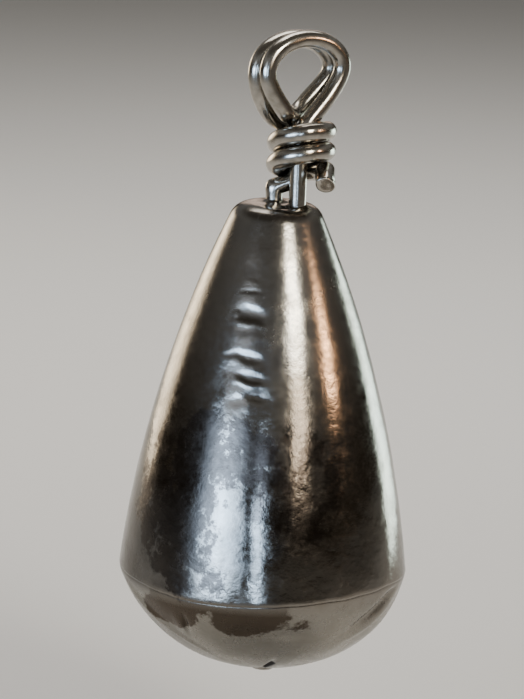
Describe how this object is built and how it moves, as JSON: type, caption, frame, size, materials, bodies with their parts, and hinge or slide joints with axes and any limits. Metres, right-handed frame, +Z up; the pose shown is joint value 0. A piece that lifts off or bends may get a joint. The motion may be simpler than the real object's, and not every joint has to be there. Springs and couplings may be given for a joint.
{
  "type": "plumb bob",
  "caption": "Pear-shaped cast weight with a domed base, hung by a double-ring wire eye whose legs are cast in and bound at the neck; hangs on a line to show the vertical.",
  "frame": {"origin": "where the line bears, on the underside of the eye's crown, midway between the two rings", "axes": "+Z up, parallel to the casting's axis; the eye lies in the XZ plane, so the line passes through it along Y"},
  "size_m": [0.04, 0.0399, 0.0897],
  "materials": {
    "cast_metal": "polished lead alloy, mottled",
    "wire": "bright drawn wire, slightly tarnished"
  },
  "bodies": {
    "root": {"weight_casting": "cast_metal", "eye_wire": "wire", "binding_wire": "wire"}
  },
  "joints": []
}
